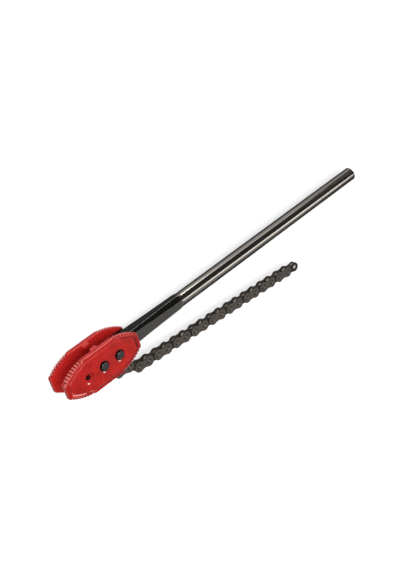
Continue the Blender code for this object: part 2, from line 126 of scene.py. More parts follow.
class JawSizes(bpy.types.PropertyGroup):
    """Sizes of one toothed jaw. Heights are counted from the middle plane of the tool."""

    length: distance("Length", "From blunt end to blunt end", UPPER_HIGH.x - UPPER_LOW.x)
    height: distance("Height", "Between the two straight edges", UPPER_HIGH.y - UPPER_LOW.y)
    edge_length: distance("Edge length", "Straight edge between two toothed arcs", 0.0888)
    end_height: distance("End height", "Blunt end between two toothed arcs", 0.0394)
    arc_rise: distance("Arc rise", "How far a toothed arc stands out from its chord", 0.0053)
    inner_face: distance("Inner face", "Height of the face towards the other jaw", 0.0221)
    margin_face: distance("Margin face", "Height of the outer face beside the panel", 0.035)
    panel_face: distance("Panel face", "Height of the raised panel", UPPER_HIGH.z - CENTRE.z)
    panel_slope: distance("Panel slope", "Width of the panel's sloped border", 0.0022)
    panel_edge_inset: distance("Panel from edge", "Margin along the straight edge", 0.008)
    panel_arc_inset: distance("Panel from arc", "Margin along a toothed arc", 0.0112)
    panel_end_inset: distance("Panel from end", "Margin at the blunt end", 0.0115)
    teeth: bpy.props.IntProperty(name="Teeth", description="Teeth along one arc", default=9, min=4, max=20)
    tooth_depth: distance("Tooth depth", "From a tooth's tip to the groove's floor", 0.0027)
    chamfer_width: distance("Chamfer width", "How far the teeth run over the outer face", 0.006)
    chamfer_depth: distance("Chamfer depth", "How far the outer face falls towards the teeth", 0.0025)
    edge_radius: distance("Edge radius", "Rounding of the forging's edges", 0.0008)
    hole_spacing: distance("Hole spacing", "Between two bolt holes", 0.0485)
    hole_diameter: distance("Hole diameter", "Bolt hole", 0.0135)
    counterbore_diameter: distance("Counterbore diameter", "Recess for a bolt head or a nut", 0.029)
    counterbore_depth: distance("Counterbore depth", "From the panel to the seat", 0.0036)
    lip_radius: distance("Lip radius", "Rounding of a counterbore's rim", 0.0015)
    lug_gap: distance("Lug gap", "Between the lugs of the two jaws", 0.0206)
    lug_length: distance("Lug length", "Along the jaw, at the lug's tip", 0.017)
    lug_height: distance("Lug height", "Across the jaw, at the lug's tip", 0.0105)
    lug_draft: distance("Lug draft", "How much wider a lug is at its root, each way", 0.0035)
    lug_setback: distance("Lug setback", "From the jaw's straight edge", 0.0006)
    paint: colour("Paint", "Colour of the jaws", (0.46, 0.012, 0.009))


class HandleSizes(bpy.types.PropertyGroup):
    """Sizes of the forged handle. Places along it are counted from the jaws' middle hole."""

    tang_height: distance("Tang height", "Flat end between the jaws, across", 0.0414)
    tang_half: distance("Tang half thickness", "Half of the flat end's thickness", 0.0218)
    tang_end: distance("Tang end", "Where the flat end stops", 0.108)
    nose_radius: distance("Nose radius", "Round nose about the anchor pin", 0.016)
    nose_shoulder: distance("Nose shoulder", "Where the flat end reaches its full height", 0.005)
    anchor_place: distance("Anchor place", "Middle of the anchor pin", -0.024)
    slot_width: distance("Slot width", "Fork for the anchor link", 0.014)
    slot_depth: distance("Slot depth", "From the anchor pin's middle to the fork's back", 0.0121)
    pin_hole_diameter: distance("Pin hole diameter", "Hole for the anchor pin", 0.0126)
    shank_half_at_jaws: distance("Shank at the jaws", "Half of the shank's size where it starts", 0.0206)
    shank_half: distance("Shank", "Half of the shank's size", 0.020)
    corner_at_jaws: distance("Corner at the jaws", "Cut corner where the shank starts", 0.0068)
    corner_middle: distance("Corner in the middle", "Cut corner halfway along the shank", 0.0093)
    corner_at_bar: distance("Corner at the bar", "Cut corner where the shank ends", 0.012)
    shank_start: distance("Shank start", "First section of the shank", 0.105)
    shank_middle: distance("Shank middle", "Middle section of the shank", 0.185)
    shank_end: distance("Shank end", "Last eight-sided section", 0.268)
    ridge_radius: distance("Ridge radius", "Rounding of the shank's ridges", 0.0018)
    bar_start: distance("Bar start", "First round section", 0.284)
    bar_end: distance("Bar end", "Far end of the bar", HANDLE_HIGH.x - CENTRE.x)
    bar_diameter: distance("Bar diameter", "Round bar", 0.0381)
    end_radius: distance("End radius", "Rounding of the bar's end", 0.004)
    end_dome: distance("End dome", "Rise of the bar's end face", 0.0015)
    paint: colour("Steel", "Colour of the handle", (0.17, 0.162, 0.15))


class FastenerSizes(bpy.types.PropertyGroup):
    """Sizes of the jaw bolts, their nuts and the anchor pin."""

    bolt_diameter: distance("Bolt diameter", "Shank of a jaw bolt", 0.012)
    flats: distance("Flats", "Across the flats of head and nut", 0.019)
    seat: distance("Seat", "Height of a head's seat above the middle plane", 0.0337)
    head_height: distance("Head height", "Hex head", 0.0075)
    nut_height: distance("Nut height", "Thin nut", 0.006)
    anchor_pin_diameter: distance("Anchor pin diameter", "Pin in the handle's nose", 0.012)
    steel: colour("Steel", "Colour of the bolts and nuts", (0.11, 0.104, 0.1))


class ChainSizes(bpy.types.PropertyGroup):
    """Sizes of the chain and of its anchor link."""

    pitch: distance("Pitch", "From pin to pin", 0.03175)
    plate_thickness: distance("Plate thickness", "Link plates", 0.0028)
    outer_radius: distance("Outer plate radius", "Round ends of an outer plate", 0.0143)
    outer_waist: distance("Outer plate waist", "Narrowest part of an outer plate", 0.0212)
    outer_face: distance("Outer plate face", "Height of an outer plate's face", 0.0098)
    inner_radius: distance("Inner plate radius", "Round ends of an inner plate", 0.013)
    inner_waist: distance("Inner plate waist", "Narrowest part of an inner plate", 0.0204)
    inner_face: distance("Inner plate face", "Height of an inner plate's face", 0.0067)
    pin_diameter: distance("Pin diameter", "Pin inside its bush", 0.0106)
    head_diameter: distance("Pin head diameter", "Riveted end of a pin", 0.0134)
    head_height: distance("Pin head height", "Rise of a riveted end above its plate", 0.002)
    bush_diameter: distance("Bush diameter", "Outside of a bush", 0.0156)
    bore_diameter: distance("Bore diameter", "Inside of a bush", 0.0112)
    rim_radius: distance("Rim radius", "Rounding of the plates' edges", 0.0007)
    anchor_length: distance("Anchor link length", "Between its two eyes", 0.0506)
    anchor_width: distance("Anchor link width", "Bar between the eyes", 0.015)
    anchor_eye_radius: distance("Anchor eye radius", "Eye on the anchor pin", 0.0115)
    anchor_fillet: distance("Anchor fillet", "Between an eye and the bar", 0.008)
    steel: colour("Steel", "Colour of the oiled steel", (0.1, 0.083, 0.07))
    film: colour("Oil film", "Colour where the old oil is thick", (0.06, 0.049, 0.04))


class StageSizes(bpy.types.PropertyGroup):
    """Floor, lamps and camera."""

    lens: bpy.props.FloatProperty(
        name="Lens", description="Focal length of the camera", default=89.93, min=1.0, unit="CAMERA"
    )
    floor_size: distance("Floor size", "Side of the square floor", 16.0)
    floor_tint: colour("Floor", "Colour of the floor", (0.55, 0.55, 0.55))
    lamp_power: bpy.props.FloatProperty(
        name="Lamp power", description="Power that the lamps share", default=95.0, min=0.0, unit="POWER"
    )
    room_light: bpy.props.FloatProperty(
        name="Room light", description="Strength of the faint light from all round", default=0.03, min=0.0
    )


class Value:
    """One output of a node tree. An expression on values and numbers adds its Math nodes."""

    def __init__(self, graph, socket):
        self.graph = graph
        self.socket = socket

    def output(self, key):
        """Another output of the same node."""
        return Value(self.graph, self.socket.node.outputs[key])

    def maths(self, operation, *terms):
        """A Math node on these terms."""
        return self.graph.node("ShaderNodeMath", {"operation": operation}, dict(enumerate(terms)))

    def __add__(self, other):
        return self.maths("ADD", self, other)

    def __sub__(self, other):
        return self.maths("SUBTRACT", self, other)

    def __mul__(self, other):
        return self.maths("MULTIPLY", self, other)

    def __truediv__(self, other):
        return self.maths("DIVIDE", self, other)

    def __radd__(self, other):
        return self.maths("ADD", other, self)

    def __rsub__(self, other):
        return self.maths("SUBTRACT", other, self)

    def __rmul__(self, other):
        return self.maths("MULTIPLY", other, self)

    def __rtruediv__(self, other):
        return self.maths("DIVIDE", other, self)

    def floor(self):
        return self.maths("FLOOR", self)

    def absolute(self):
        return self.maths("ABSOLUTE", self)

    def cosine(self):
        return self.maths("COSINE", self)

    def sine(self):
        return self.maths("SINE", self)

    def root(self):
        return self.maths("SQRT", self)


class Graph:
    """The nodes of a material or of a Geometry Nodes tree."""

    def __init__(self, tree):
        self.tree = tree

    def node(self, kind, settings=None, sockets=None, output=0):
        """Adds a node: its settings first, then the values or links of its sockets."""
        node = self.tree.nodes.new(kind)
        for name, value in (settings or {}).items():
            setattr(node, name, value)
        for key, value in (sockets or {}).items():
            if isinstance(value, Value):
                self.tree.links.new(value.socket, node.inputs[key])
            else:
                node.inputs[key].default_value = value
        return Value(self, node.outputs[output]) if len(node.outputs) else None

    def vector(self, x, y, z):
        return self.node("ShaderNodeCombineXYZ", sockets={0: x, 1: y, 2: z})

    def parts(self, vector):
        """The three coordinates of a vector."""
        x = self.node("ShaderNodeSeparateXYZ", sockets={0: vector})
        return x, x.output("Y"), x.output("Z")


class Finish(Graph):
    """A material on one shader, with patterns in the object's own metres."""

    def __init__(self, name):
        self.material = bpy.data.materials.new(name)
        self.material.use_nodes = True
        super().__init__(self.material.node_tree)
        self.tree.nodes.clear()
        coordinates = self.node("ShaderNodeTexCoord")
        self.place = coordinates.output("Object")
        self.facing = coordinates.output("Normal")

    def noise(self, size, detail=3.0, roughness=0.55, stretch=(1.0, 1.0, 1.0), distortion=0.0):
        """Noise from 0 to 1 whose blots are about size metres across."""
        shrink = tuple(1.0 / (size * share) for share in stretch)
        place = self.node("ShaderNodeVectorMath", {"operation": "MULTIPLY"}, {0: self.place, 1: shrink})
        sockets = {"Vector": place, "Scale": 1.0, "Detail": detail, "Roughness": roughness}
        sockets["Distortion"] = distortion
        return self.node("ShaderNodeTexNoise", sockets=sockets)

    def between(self, value, low, high):
        """0 below low, 1 above high, and smooth between."""
        return self.node(
            "ShaderNodeMapRange",
            {"interpolation_type": "SMOOTHSTEP"},
            {"Value": value, "From Min": low, "From Max": high},
        )

    def blend(self, share, first, second):
        """From the first colour to the second."""
        first = first if isinstance(first, Value) else (*first, 1.0)
        second = second if isinstance(second, Value) else (*second, 1.0)
        return self.node("ShaderNodeMix", {"data_type": "RGBA"}, {0: share, 6: first, 7: second}, output=2)

    def bump(self, height, depth, normal=None):
        """A normal bent by a height from 0 to 1 that stands for depth metres."""
        sockets = {"Height": height, "Distance": depth, "Strength": 1.0}
        if normal:
            sockets["Normal"] = normal
        return self.node("ShaderNodeBump", sockets=sockets)

    def attribute(self, name):
        """What the mesh says at each point."""
        return self.node("ShaderNodeAttribute", {"attribute_name": name}).output("Fac")

    def hole_shade_and_glints(self, jaw):
        """Two masks of the jaws: painted shade in the bolt holes and on the seats under the bolt heads, and
        a painted glint on the counterbores' rims.
        """
        place = self.node("ShaderNodeVectorMath", {"operation": "SUBTRACT"}, {0: self.place, 1: CENTRE})
        x, y, z = self.parts(place)
        height, spacing = z.absolute(), jaw.hole_spacing
        across = x - (x / spacing + 0.5).floor() * spacing
        reach = (across * across + y * y).root()
        near = self.between(x.absolute(), 1.5 * spacing, 1.4 * spacing)
        hole, bore, lip = jaw.hole_diameter / 2, jaw.counterbore_diameter / 2, jaw.lip_radius
        inside = self.between(reach, hole + 0.0006, hole + 0.0001)
        low, high = jaw.inner_face + 0.002, jaw.panel_face - jaw.counterbore_depth
        # Painted shade on the seats of the bolted holes.
        seat = self.between(reach, bore, bore - 0.0003) * self.between(x, -0.6 * spacing, -0.5 * spacing)
        seat = seat * self.between(height, low, low + 0.001)
        seat = seat * self.between(height, high + 0.0005, high + 0.0002)
        # A painted glint on the rim's side towards -Y.
        ring = self.between(reach, bore - 0.0002, bore)
        ring = ring * self.between(reach, bore + 1.2 * lip, bore + 0.9 * lip)
        toward = (across * 0.38 + y * 0.92) / reach
        return near * (1 - (1 - inside) * (1 - 0.9 * seat)), ring * near * self.between(toward, -0.95, -0.99)

    def end(self, **sockets):
        """Feeds the shader and returns the material. Socket names are written with underscores."""
        named = {key.replace("_", " "): value for key, value in sockets.items()}
        shader = self.node("ShaderNodeBsdfPrincipled", sockets=named)
        self.node("ShaderNodeOutputMaterial", sockets={"Surface": shader})
        return self.material


class Pattern(Graph):
    """A Geometry Nodes tree with named inputs, which gives a plain mesh."""

    def __init__(self, name, inputs):
        super().__init__(bpy.data.node_groups.new(name, "GeometryNodeTree"))
        face = self.tree.interface
        face.new_socket("Geometry", in_out="OUTPUT", socket_type="NodeSocketGeometry")
        self.keys = {}
        for key, kind in {**inputs, "Material": "Material"}.items():
            socket = face.new_socket(key, in_out="INPUT", socket_type=f"NodeSocket{kind}")
            self.keys[key] = socket.identifier
        self.given = self.node("NodeGroupInput")

    def input(self, key):
        return self.given.output(key)

    def shape(self, key):
        """The geometry of the object given under that name."""
        return self.node("GeometryNodeObjectInfo", sockets={"Object": self.input(key)}).output("Geometry")

    def row(self, shape, count, start, step):
        """Copies of a shape along a straight line."""
        sockets = {"Count": count, "Start Location": start, "Offset": step}
        line = self.node("GeometryNodeMeshLine", sockets=sockets)
        return self.node("GeometryNodeInstanceOnPoints", sockets={"Points": line, "Instance": shape})

    def end(self, *shapes):
        """Joins the shapes, makes them real and gives them their material."""
        together = self.tree.nodes.new("GeometryNodeJoinGeometry")
        for shape in shapes:
            self.tree.links.new(shape.socket, together.inputs[0])
        real = self.node("GeometryNodeRealizeInstances", sockets={0: Value(self, together.outputs[0])})
        sockets = {"Geometry": real, "Material": self.input("Material")}
        dressed = self.node("GeometryNodeSetMaterial", sockets=sockets)
        self.node("NodeGroupOutput", sockets={0: dressed})

    def mesh(self, values):
        """The plain mesh for these inputs. Meshes are given as objects, which are removed again."""
        carrier = linked("carrier", bpy.data.meshes.new("carrier"))
        modifier = carrier.modifiers.new("pattern", "NODES")
        modifier.node_group = self.tree
        helpers = [carrier]
        for key, value in values.items():
            if isinstance(value, bpy.types.Mesh):
                value = linked("helper", value)
                helpers.append(value)
            modifier[self.keys[key]] = value
        return evaluated(helpers)


def linked(name, data):
    thing = bpy.data.objects.new(name, data)
    bpy.context.scene.collection.objects.link(thing)
    return thing


def evaluated(helpers):
    """The mesh of the first object with its modifiers applied. All the objects are removed."""
    graph = bpy.context.evaluated_depsgraph_get()
    mesh = bpy.data.meshes.new_from_object(helpers[0].evaluated_get(graph), depsgraph=graph)
    for helper in helpers:
        bpy.data.objects.remove(helper)
    return mesh


def modified(mesh, kind, **settings):
    """The mesh after one modifier."""
    body = linked("body", mesh)
    modifier = body.modifiers.new("step", kind)
    for name, value in settings.items():
        setattr(modifier, name, value)
    return evaluated([body])


def combined(mesh, operation, tool):
    """The mesh after one Boolean with the tool."""
    body, helper = linked("body", mesh), linked("tool", tool)
    modifier = body.modifiers.new("step", "BOOLEAN")
    modifier.operation = operation
    modifier.object = helper
    return evaluated([body, helper])


def drilled(mesh, radius, reach, x=0.0, sides=TURNED_SIDES):
    """The mesh with a round hole through it, at one place along X."""
    return combined(mesh, "DIFFERENCE", shifted(turned([(radius, -reach), (radius, reach)], sides), x=x))


def joined(*meshes):
    """One mesh of several bodies."""
    shape = bmesh.new()
    for mesh in meshes:
        shape.from_mesh(mesh)
    return finished(shape)


def finished(shape):
    """The mesh of a shape that is no longer edited."""
    mesh = bpy.data.meshes.new("body")
    shape.to_mesh(mesh)
    shape.free()
    return mesh


def moved(mesh, matrix):
    copy = mesh.copy()
    copy.transform(matrix)
    return copy


def shifted(mesh, x=0.0, y=0.0, z=0.0):
    return moved(mesh, Matrix.Translation((x, y, z)))


def softened(mesh):
    """Smooth faces, hard where the surface turns sharply, with flat faces kept flat beside roundings."""
    mesh.shade_smooth()
    mesh.set_sharp_from_angle(angle=SHARP_TURN)
    return modified(mesh, "WEIGHTED_NORMAL", keep_sharp=True, weight=80)


def piece(name, mesh, material, slot, body, *nodes):
    """A finished piece in the place of CAD nodes, riding on their body."""
    mesh.materials.clear()
    mesh.materials.append(material)
    thing = linked(name, mesh)
    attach(thing, body)
    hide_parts(*nodes)


def loft(rings, closed=False):
    """A mesh through rings of equal counts. The last ring joins the first, or both ends are capped."""
    shape = bmesh.new()
    loops = [[shape.verts.new(point) for point in ring] for ring in rings]
    pairs = list(zip(loops, loops[1:]))
    if closed:
        pairs.append((loops[-1], loops[0]))
    else:
        shape.faces.new(reversed(loops[0]))
        shape.faces.new(loops[-1])
    for low, high in pairs:
        for i in range(len(low)):
            following = (i + 1) % len(low)
            shape.faces.new((low[i], low[following], high[following], high[i]))
    bmesh.ops.recalc_face_normals(shape, faces=shape.faces)
    return finished(shape)


def at_height(outline, height):
    return [(x, y, height) for x, y in outline]


def arc(centre, radius, start, end, steps):
    """Points on an arc, both ends included."""
    turns = [start + (end - start) * i / steps for i in range(steps + 1)]
    return [(centre[0] + radius * math.cos(t), centre[1] + radius * math.sin(t)) for t in turns]


def round_ring(radius, height, sides=FASTENER_SIDES):
    return at_height(arc((0.0, 0.0), radius, 0.0, math.tau, sides)[:-1], height)


def rim(radius, steps=3):
    """Pairs of inset and rise on a quarter round, from the face to the side."""
    turns = [math.pi / 2 * i / steps for i in range(steps + 1)]
    return [(radius * (1 - math.sin(t)), radius * (1 - math.cos(t))) for t in turns]


def slab(outline_at, low, high, radius, steps=3):
    """A plate with rounded rims. outline_at gives the outline moved inwards by an inset."""
    edge = rim(radius, steps)
    rings = [at_height(outline_at(inset), low + rise) for inset, rise in edge]
    rings += [at_height(outline_at(inset), high - rise) for inset, rise in reversed(edge)]
    return loft(rings)


def turned(profile, sides=TURNED_SIDES, closed=False):
    """A turned part from pairs of radius and height."""
    return loft([round_ring(radius, height, sides) for radius, height in profile], closed)


def smoothstep(share):
    share = min(max(share, 0.0), 1.0)
    return share * share * (3 - 2 * share)


def mix(first, second, share):
    return first + (second - first) * share


class ToothedArc:
    """The toothed arc of a jaw at +X and +Y, from the blunt end to the straight edge."""

    def __init__(self, jaw):
        self.jaw = jaw
        corner = (jaw.edge_length / 2, jaw.height / 2)
        end = (jaw.length / 2, jaw.end_height / 2)
        chord = math.dist(corner, end)
        self.radius = (chord**2 / 4 + jaw.arc_rise**2) / (2 * jaw.arc_rise)
        depth = (self.radius - jaw.arc_rise) / chord
        self.centre = (
            (corner[0] + end[0]) / 2 + (end[1] - corner[1]) * depth,
            (corner[1] + end[1]) / 2 + (corner[0] - end[0]) * depth,
        )
        self.first = math.atan2(end[1] - self.centre[1], end[0] - self.centre[0])
        self.last = math.atan2(corner[1] - self.centre[1], corner[0] - self.centre[0])
        self.pitch = self.radius * (self.last - self.first) / jaw.teeth

    def turn(self, share):
        return mix(self.first, self.last, share)

    def point(self, turn, inset):
        reach = self.radius - inset
        return self.centre[0] + reach * math.cos(turn), self.centre[1] + reach * math.sin(turn)

    def turn_at_end(self, inset, end_inset):
        """Where the arc, moved inwards by inset, meets the blunt end, moved inwards by end_inset."""
        return math.acos((self.jaw.length / 2 - end_inset - self.centre[0]) / (self.radius - inset))

    def ring(self, groove, tip, edge, end_inset, fade):
        """One closed ring round the jaw.

        groove, tip and edge are pairs of inset and height: in the grooves, at the first and last tooth,
        and along the straight edge. The tip's pair turns into the edge's between the fade's two shares
        of the arc.
        """
        teeth = self.jaw.teeth
        start = self.turn_at_end(tip[0], end_inset)
        quarter = [(*self.point(start, tip[0]), tip[1])]
        shares = [(0.5, tip), (0.74, tip), (0.94, groove)]  # places along the arc, counted in teeth
        shares += [(place / 2, groove) for place in range(2, 2 * teeth - 1)]
        shares += [(teeth - 0.94, groove), (teeth - 0.74, tip)]
        shares += [(teeth - back, tip) for back in (0.6, 0.5, 0.4, 0.3, 0.2, 0.12, 0.06, 0.0)]
        for place, (inset, height) in shares:
            share = place / teeth
            faded = smoothstep((share - fade[0]) / (fade[1] - fade[0]))
            inset, height = mix(inset, edge[0], faded), mix(height, edge[1], faded)
            turn = self.turn(share) if place >= 1 else mix(start, self.turn(1 / teeth), place)
            quarter.append((*self.point(turn, inset), height))
        half = quarter + [(-x, y, z) for x, y, z in reversed(quarter)]
        return half + [(-x, -y, z) for x, y, z in half]


def jaw_shell(jaw):
    """The forging without its middle teeth: grooved edge, chamfer over the teeth and raised panel."""
    line = ToothedArc(jaw)
    deep, wide, low = jaw.tooth_depth, jaw.chamfer_width, jaw.margin_face - jaw.chamfer_depth
    face, top, radius = jaw.margin_face, jaw.panel_face, jaw.edge_radius
    near_edge = (1 - 0.3 / jaw.teeth, 1.0)
    rings = []
    for inset, rise in rim(radius):
        height = jaw.inner_face + rise
        rings.append(line.ring((deep + inset, height), (inset, height), (inset, height), inset, near_edge))
    for share in (0.0, 0.5, 0.9, 1.0):
        lift = jaw.chamfer_depth * share
        inset, rise = rim(radius)[round(3 * (1 - share))]
        edge = (inset, face - rise)
        grooved, tipped = (mix(deep, wide, share), low + lift), (mix(0.0, wide, share), low + lift)
        rings.append(line.ring(grooved, tipped, edge, inset, near_edge))
    wide_border = (1 - 2.2 / jaw.teeth, 1.0)
    slope, rise = jaw.panel_slope, top - face
    foot, crest = ((-0.0004, 0.0), (0.0001, 0.00008)), ((slope, rise - 0.0001), (slope + 0.0006, rise))
    for out, height in foot + crest:
        side = (jaw.panel_arc_inset + out, face + height)
        edge = (jaw.panel_edge_inset + out, face + height)
        rings.append(line.ring(side, side, edge, jaw.panel_end_inset + out, wide_border))
    return loft(rings)


def tooth_block(jaw):
    """One tooth, pointing along X from the arc's centre, with its root inside the shell."""
    pitch = ToothedArc(jaw).pitch
    tip, root = 0.24 * pitch, 0.45 * pitch
    sunk, heel = 0.0002, 0.0012
    low, face, wide = jaw.margin_face - jaw.chamfer_depth, jaw.margin_face, jaw.chamfer_width
    groove = jaw.tooth_depth + sunk
    rings = []
    for height, share in ((jaw.inner_face + sunk, 0.0), (low, 0.0), (face - sunk, 1.0)):
        crest, floor = -mix(0.0, wide, share), -mix(groove, wide, share)
        behind = -mix(jaw.tooth_depth, wide, share) - heel
        dip = height - 0.1 * groove
        ring = [(crest, -tip, height), (crest, tip, height), (floor, root, dip)]
        rings.append(ring + [(behind, root, height), (behind, -root, height), (floor, -root, dip)])
    bevel = {"width": 0.00035, "segments": 2, "limit_method": "ANGLE", "angle_limit": math.radians(25)}
    return modified(loft(rings), "BEVEL", **bevel)


def toothing():
    """Copies of one tooth along the four arcs of a jaw."""
    inputs = {"Tooth": "Object", "Count": "Int", "Centre X": "Float", "Centre Y": "Float"}
    inputs |= {"Radius": "Float", "First Turn": "Float", "Last Turn": "Float"}
    tree = Pattern("toothing", inputs)
    count = tree.input("Count")
    index = tree.node("GeometryNodeInputIndex")
    quarter = ((index + 0.5) / count).floor()
    upside = ((quarter + 0.5) / 2).floor()
    side_x = 1 - 2 * (quarter - 2 * upside)
    side_y = 1 - 2 * upside
    share = (index - quarter * count + 0.5) / count
    turn = tree.input("First Turn") + (tree.input("Last Turn") - tree.input("First Turn")) * share
    across, up = side_x * turn.cosine(), side_y * turn.sine()
    x = side_x * tree.input("Centre X") + tree.input("Radius") * across
    y = side_y * tree.input("Centre Y") + tree.input("Radius") * up
    outwards = tree.vector(0.0, 0.0, up.maths("ARCTAN2", up, across))
    place = tree.vector(x, y, 0.0)
    points = tree.node("GeometryNodePoints", sockets={"Count": count * 4, "Position": place})
    sockets = {"Points": points, "Instance": tree.shape("Tooth"), "Rotation": outwards}
    tree.end(tree.node("GeometryNodeInstanceOnPoints", sockets=sockets))
    return tree


def rounded_box(left, right, low, high, radius, inset):
    """A rectangle with rounded corners, moved inwards by an inset."""
    inner = radius - inset
    right, high = right - inset - inner, high - inset - inner
    left, low = left + inset + inner, low + inset + inner
    outline, quarter = [], math.pi / 2
    for i, corner in enumerate(((right, high), (left, high), (left, low), (right, low))):
        outline += arc(corner, inner, i * quarter, (i + 1) * quarter, 4)
    return outline


def lug(jaw):
    """A drafted block inside the jaw's upper edge, which holds the end of a chain pin."""
    outer = jaw.height / 2 - jaw.lug_setback
    tip, root = jaw.lug_gap / 2, jaw.inner_face + OVERRUN
    soft, corner = 0.0012, 0.0022
    steps = [(rise / (root - tip), inset) for inset, rise in rim(soft)]
    rings = []
    for share, inset in [*steps, (0.9, 0.0), (1.0, 0.0)]:
        wide = jaw.lug_draft * share
        half = jaw.lug_length / 2 + wide
        outline = rounded_box(-half, half, outer - jaw.lug_height - wide, outer, corner, inset)
        rings.append(at_height(outline, mix(tip, root, share)))
    return loft(rings)


def stepped_hole(jaw):
    """Cutter for a bolt hole and its counterbore, with soft lips at both faces."""
    hole, bore, lip = jaw.hole_diameter / 2, jaw.counterbore_diameter / 2, jaw.lip_radius
    inner, face, soft, bend = jaw.inner_face, jaw.panel_face, 0.0006, 0.0002
    seat = face - jaw.counterbore_depth
    profile = [(hole + soft, inner - OVERRUN), (hole + soft, inner), (hole, inner + soft)]
    profile += [(hole, seat), (bore - soft, seat), (bore - bend, seat + bend), (bore, seat + soft)]
    profile += [(bore + lip - inset, face - rise) for inset, rise in reversed(rim(lip, 4))]
    profile.append((bore + lip, face + OVERRUN))
    return turned(profile)


def jaw_body(jaw, paint):
    """The finished upper jaw about its middle hole."""
    shell = jaw_shell(jaw)
    for step in (-1, 0, 1):
        shell = combined(shell, "DIFFERENCE", shifted(stepped_hole(jaw), x=step * jaw.hole_spacing))
    line = ToothedArc(jaw)
    teeth = toothing().mesh(
        {
            "Tooth": tooth_block(jaw),
            "Count": jaw.teeth - 2,
            "Centre X": line.centre[0],
            "Centre Y": line.centre[1],
            "Radius": line.radius,
            "First Turn": line.turn(1 / jaw.teeth),
            "Last Turn": line.turn(1 - 1 / jaw.teeth),
            "Material": paint,
        }
    )
    far_lug = moved(lug(jaw), Matrix.Rotation(math.pi, 4, "Z"))
    return softened(with_light_marks(joined(shell, teeth, lug(jaw), far_lug), jaw))


def with_light_marks(mesh, jaw):
    """Gives each point two numbers that the paint reads, for painted light and shade.

    "worn" is 1 on a tooth's tip, for a painted highlight, 0.5 on plain faces, less along the panel's foot
    and 0 in a groove, for painted shade. "glossy" is 1 along the panel's foot at the front arc on the
    chain's side, for a painted highlight.
    """
    line = ToothedArc(jaw)
    low = jaw.margin_face - jaw.chamfer_depth
    panel_side = jaw.height / 2 - jaw.panel_edge_inset + 0.0006
    near, level = 0.001, 0.00015  # how far beside and above the panel's foot its painted shade and highlight reach
    tip_light_hollow_shade, foot_highlight = [], []
    for vertex in mesh.vertices:
        x, y, z = vertex.co
        turn = math.atan2(abs(y) - line.centre[1], abs(x) - line.centre[0])
        depth = line.radius - math.dist((abs(x), abs(y)), line.centre)
        toothed = line.turn(0.7 / jaw.teeth) < turn < line.turn(1 - 0.7 / jaw.teeth)
        ramp = jaw.chamfer_width * (z - low) / jaw.chamfer_depth if z > low else 0.0
        foot = abs(z - jaw.margin_face) < level and depth > jaw.chamfer_width + near
        front = line.turn(0.08) < turn < line.turn(0.62) and x < 0 and y < 0
        # A painted highlight along the panel's foot at the front arc on the chain's side.
        foot_highlight.append(1.0 if foot and front and depth < jaw.panel_arc_inset + near else 0.0)
        # Painted shade along the panel's foot, darker towards +X and on the chain's side.
        if foot and abs(y) < panel_side:
            shaded = x > 0.3 * jaw.length or (x > -0.1 * jaw.length and y < 0)
            tip_light_hollow_shade.append(0.05 if shaded else 0.36)
        elif not toothed or depth > jaw.chamfer_width - 0.0002 or z < jaw.inner_face + 0.0001:
            tip_light_hollow_shade.append(0.5)
        else:
            # 1 on a tooth's tip, for a painted highlight, and 0 in a groove, for painted shade.
            tip_light_hollow_shade.append(1.0 if depth - ramp < 0.4 * jaw.tooth_depth else 0.0)
    for name, values in (("tip_light_hollow_shade", tip_light_hollow_shade), ("foot_highlight", foot_highlight)):
        mesh.attributes.new(name, "FLOAT", "POINT").data.foreach_set("value", values)
    return mesh


def tang(handle):
    """The handle's flat end, with a round nose about the anchor pin and a fork for the anchor link."""
    half, nose = handle.tang_height / 2, (handle.anchor_place, 0.0)
    shoulder = (handle.nose_shoulder - nose[0], half)
    tangent = math.atan2(shoulder[1], shoulder[0]) + math.acos(handle.nose_radius / math.hypot(*shoulder))

    def outline_at(inset):
        radius, side = handle.nose_radius - inset, half - inset
        corner = nose[0] + (radius - side * math.sin(tangent)) / math.cos(tangent)
        end = handle.tang_end - inset
        outline = arc(nose, radius, tangent, math.tau - tangent, 24)
        return outline + [(corner, -side), (end, -side), (end, side), (corner, side)]

    soft = 0.0012
    body = slab(outline_at, -handle.tang_half, handle.tang_half, soft)
    back = nose[0] + handle.slot_depth
    front = nose[0] - handle.nose_radius - OVERRUN
    side, width = half + OVERRUN, handle.slot_width / 2
    slot = [(front, -side), (back, -side), (back, side), (front, side)]
    body = combined(body, "DIFFERENCE", loft([at_height(slot, z) for z in (-width, width)]))
    return drilled(body, handle.pin_hole_diameter / 2, handle.tang_half + OVERRUN, nose[0])


